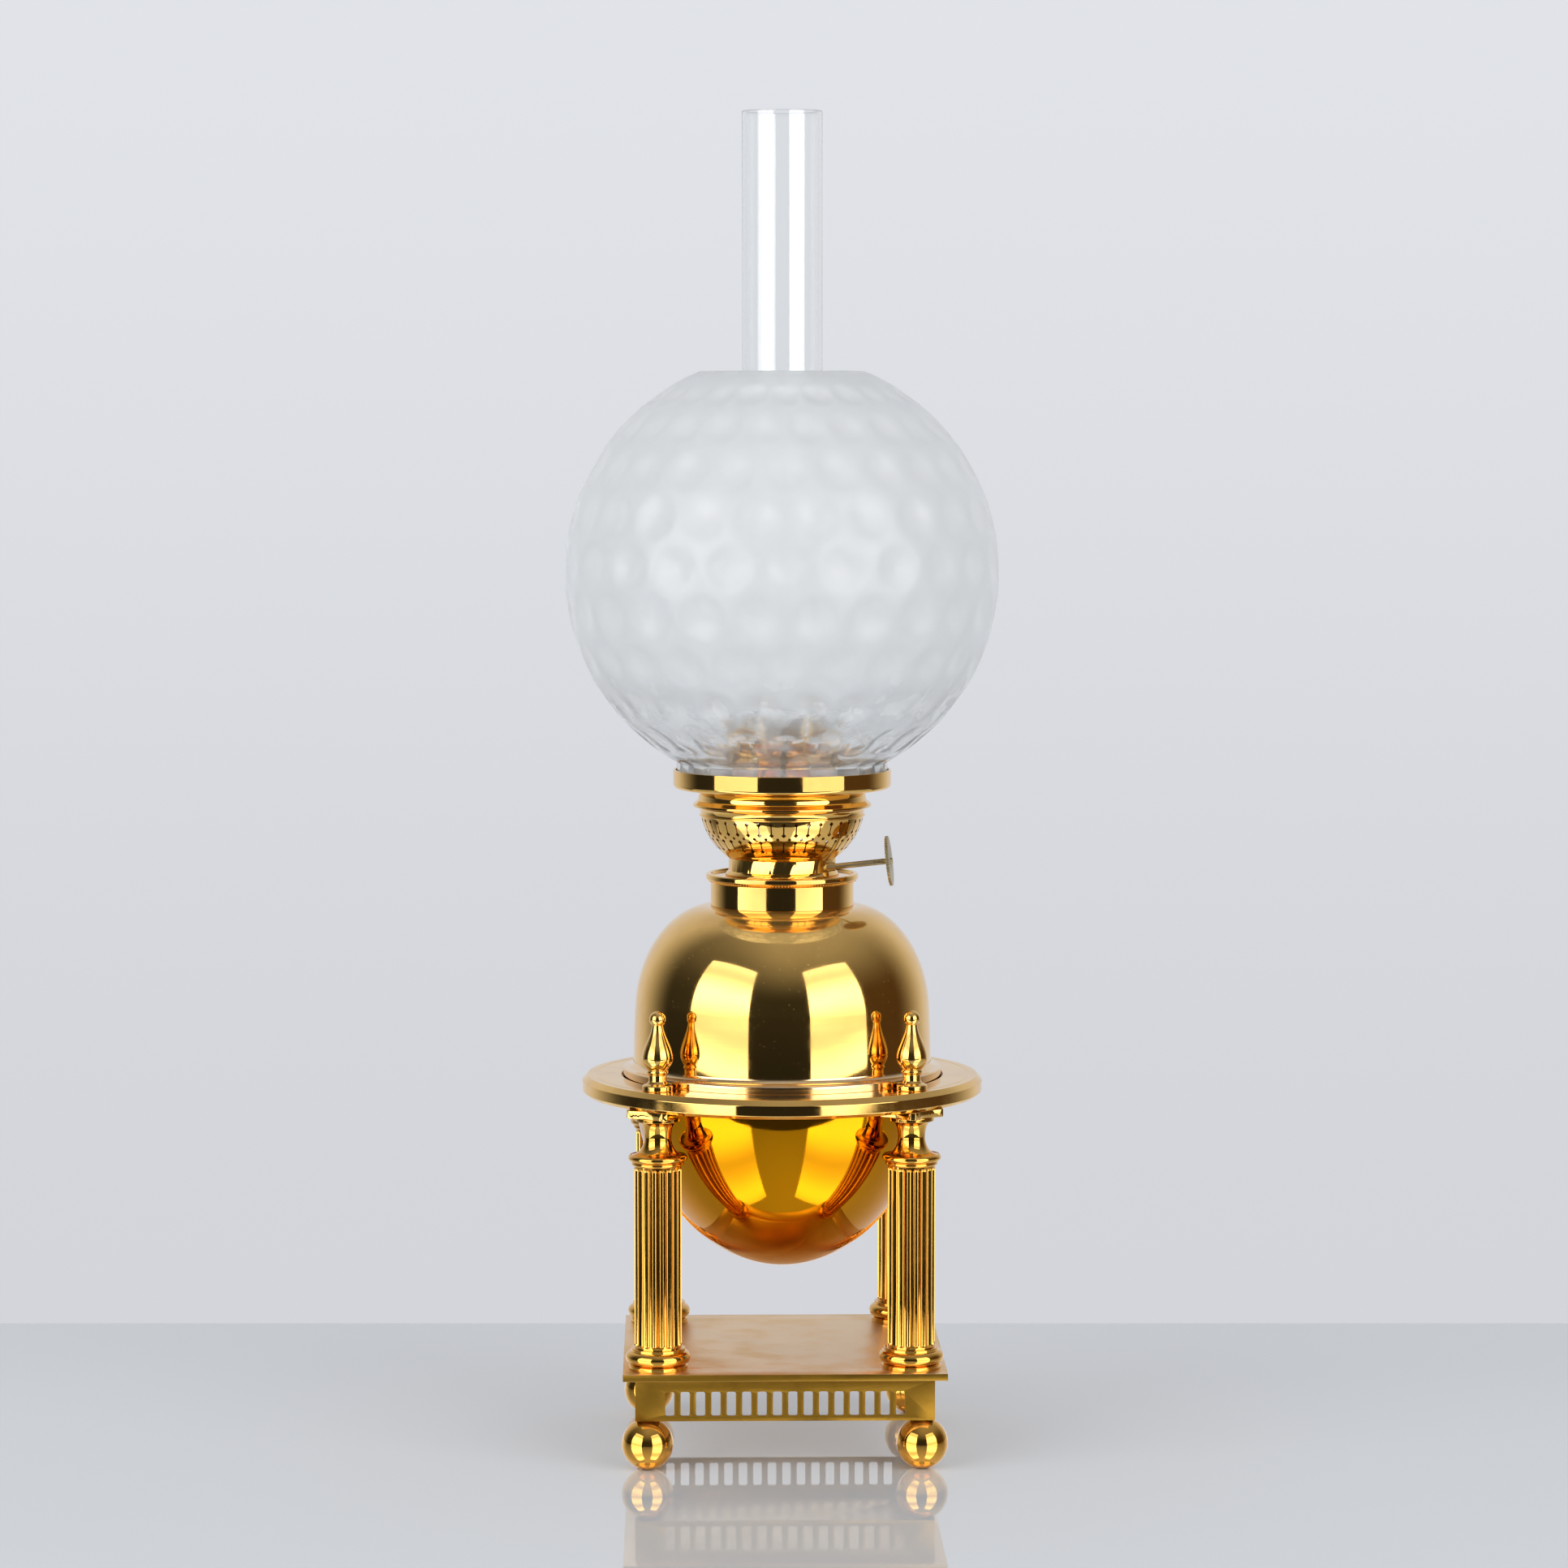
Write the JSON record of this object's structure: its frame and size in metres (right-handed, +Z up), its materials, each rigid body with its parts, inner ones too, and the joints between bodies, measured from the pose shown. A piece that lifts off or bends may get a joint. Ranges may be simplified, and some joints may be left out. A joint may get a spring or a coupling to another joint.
{
  "type": "table kerosene lamp",
  "caption": "Table oil lamp with a ball shade and tall glass chimney, its round-wick burner on a spun metal font that hangs in a ring on fluted columns.",
  "frame": {"origin": "on the table under the lamp's vertical axis", "axes": "+Z up along the axis, -Y to the front of the picture, +X to the wick knob"},
  "size_m": [0.2, 0.2, 0.6165],
  "materials": {
    "brass_polished": "polished",
    "brass_plate": "worn lacquered plate",
    "brass_aged": "dull aged brass",
    "brass_dark": "dark patinated brass",
    "cotton": "woven cotton",
    "clear_glass": "clear blown glass",
    "frosted_glass": "satin above, fading to clear glass below"
  },
  "bodies": {
    "stand": {"base_plate": "brass_plate", "apron_front": "brass_aged", "apron_back": "brass_aged", "apron_left": "brass_aged", "apron_right": "brass_aged", "corner_blocks": "brass_aged", "foot_front_left": "brass_polished", "foot_front_right": "brass_polished", "foot_rear_left": "brass_polished", "foot_rear_right": "brass_polished", "foot_nuts": "brass_dark", "column_base_fl": "brass_polished", "column_base_fr": "brass_polished", "column_base_rl": "brass_polished", "column_base_rr": "brass_polished", "column_shaft_fl": "brass_polished", "column_shaft_fr": "brass_polished", "column_shaft_rl": "brass_polished", "column_shaft_rr": "brass_polished", "capital_fl": "brass_polished", "capital_fr": "brass_polished", "capital_rl": "brass_polished", "capital_rr": "brass_polished", "abacus_fl": "brass_polished", "abacus_fr": "brass_polished", "abacus_rl": "brass_polished", "abacus_rr": "brass_polished", "tie_rod_fl": "brass_dark", "tie_rod_fr": "brass_dark", "tie_rod_rl": "brass_dark", "tie_rod_rr": "brass_dark", "rod_nuts": "brass_dark", "finial_fl": "brass_polished", "finial_fr": "brass_polished", "finial_rl": "brass_polished", "finial_rr": "brass_polished", "ring_plate": "brass_plate"},
    "font": {"font_bowl": "brass_polished", "font_dome": "brass_polished", "font_flange": "brass_plate", "font_collar": "brass_polished"},
    "burner": {"burner_adapter": "brass_polished", "burner_cup": "brass_aged", "basket": "brass_polished", "basket_cover": "brass_polished", "shade_ring": "brass_polished", "chimney_gallery": "brass_aged", "outer_wick_tube": "brass_aged", "inner_draught_tube": "brass_aged", "spindle_gland": "brass_dark"},
    "wick_raiser": {"spindle": "brass_dark", "knob": "brass_dark", "wick_wheels": "brass_dark"},
    "wick": {"wick": "cotton"},
    "chimney": {"chimney": "clear_glass"},
    "shade": {"shade": "frosted_glass"}
  },
  "joints": [
    {"name": "font_lift", "type": "slide", "parent": "stand", "child": "font", "axis": [0, 0, 1], "range_m": [0, 0.13]},
    {"name": "burner_lift", "type": "slide", "parent": "font", "child": "burner", "axis": [0, 0, 1], "range_m": [0, 0.085]},
    {"name": "knob_turn", "type": "hinge", "parent": "burner", "child": "wick_raiser", "pos_m": [-0.00124, -0.01012, 0.2674], "axis": [0.9862, -0.1211, 0.1132], "range_deg": [-120, 240]},
    {"name": "wick_travel", "type": "slide", "parent": "burner", "child": "wick", "axis": [0, 0, 1], "range_m": [-0.0058, 0.0115]},
    {"name": "chimney_lift", "type": "slide", "parent": "burner", "child": "chimney", "axis": [0, 0, 1], "range_m": [0, 0.2]},
    {"name": "shade_lift", "type": "slide", "parent": "burner", "child": "shade", "axis": [0, 0, 1], "range_m": [0, 0.32]}
  ],
  "couplings": [
    {"joint": "wick_travel", "follows": "knob_turn", "m_per_rad": 0.0027}
  ]
}
